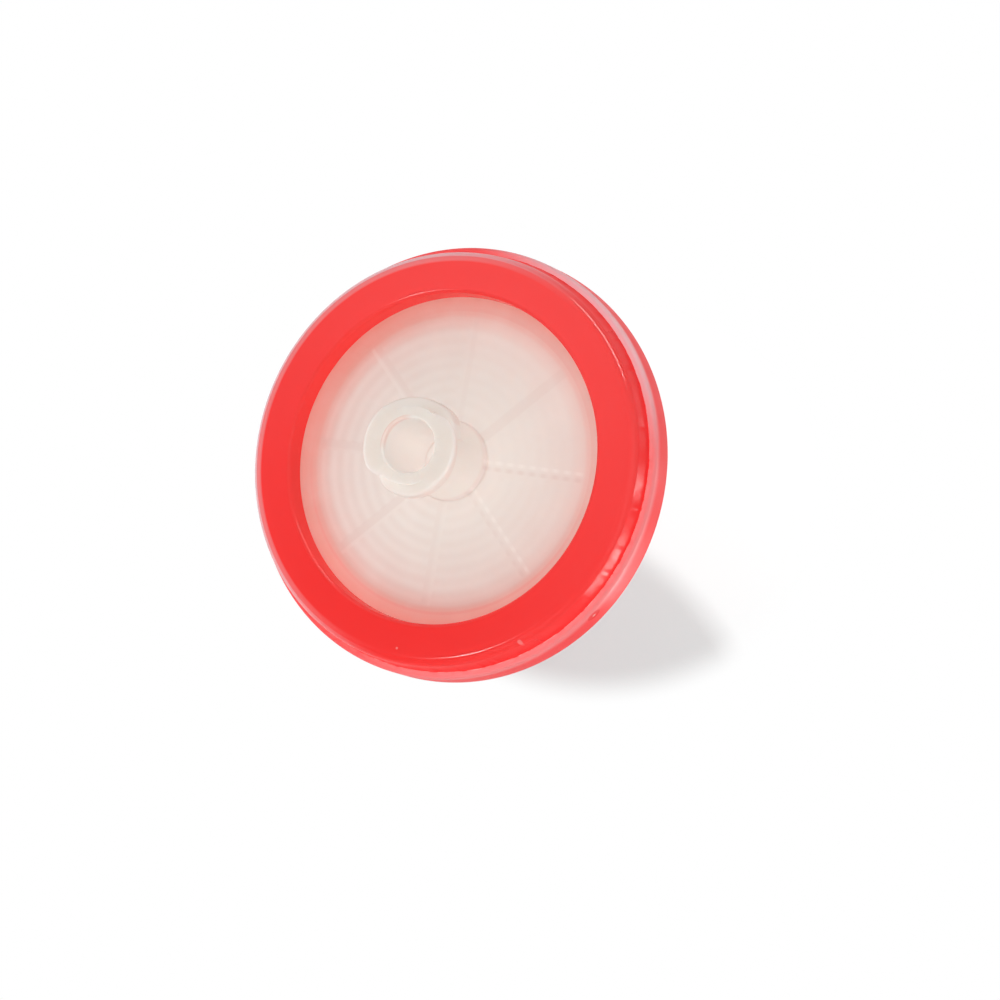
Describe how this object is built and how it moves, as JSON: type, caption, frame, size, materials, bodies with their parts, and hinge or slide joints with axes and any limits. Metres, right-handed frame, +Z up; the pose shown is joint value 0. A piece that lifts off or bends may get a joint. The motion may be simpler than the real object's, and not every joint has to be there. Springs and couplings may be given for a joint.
{
  "type": "syringe filter",
  "caption": "Disc-shaped syringe filter with a Luer-lock inlet, a Luer-slip outlet and a red clamp ring round its translucent housing.",
  "frame": {"origin": "centre of the footprint on the bench, at the level of the bench", "axes": "+Z up from the bench, +X along the ring's width, parallel to the bench; the filter's own axis leans from +Z towards -Y, inlet side up"},
  "size_m": [0.034, 0.0306, 0.0215],
  "materials": {
    "natural_housing": "translucent natural polypropylene, smooth satin gloss",
    "membrane_film": "matt white microporous polymer film",
    "red_ring": "glossy red overmoulded polypropylene, slightly translucent"
  },
  "bodies": {
    "root": {"inlet_housing": "natural_housing", "outlet_housing": "natural_housing", "membrane": "membrane_film", "clamp_ring": "red_ring"}
  },
  "joints": []
}
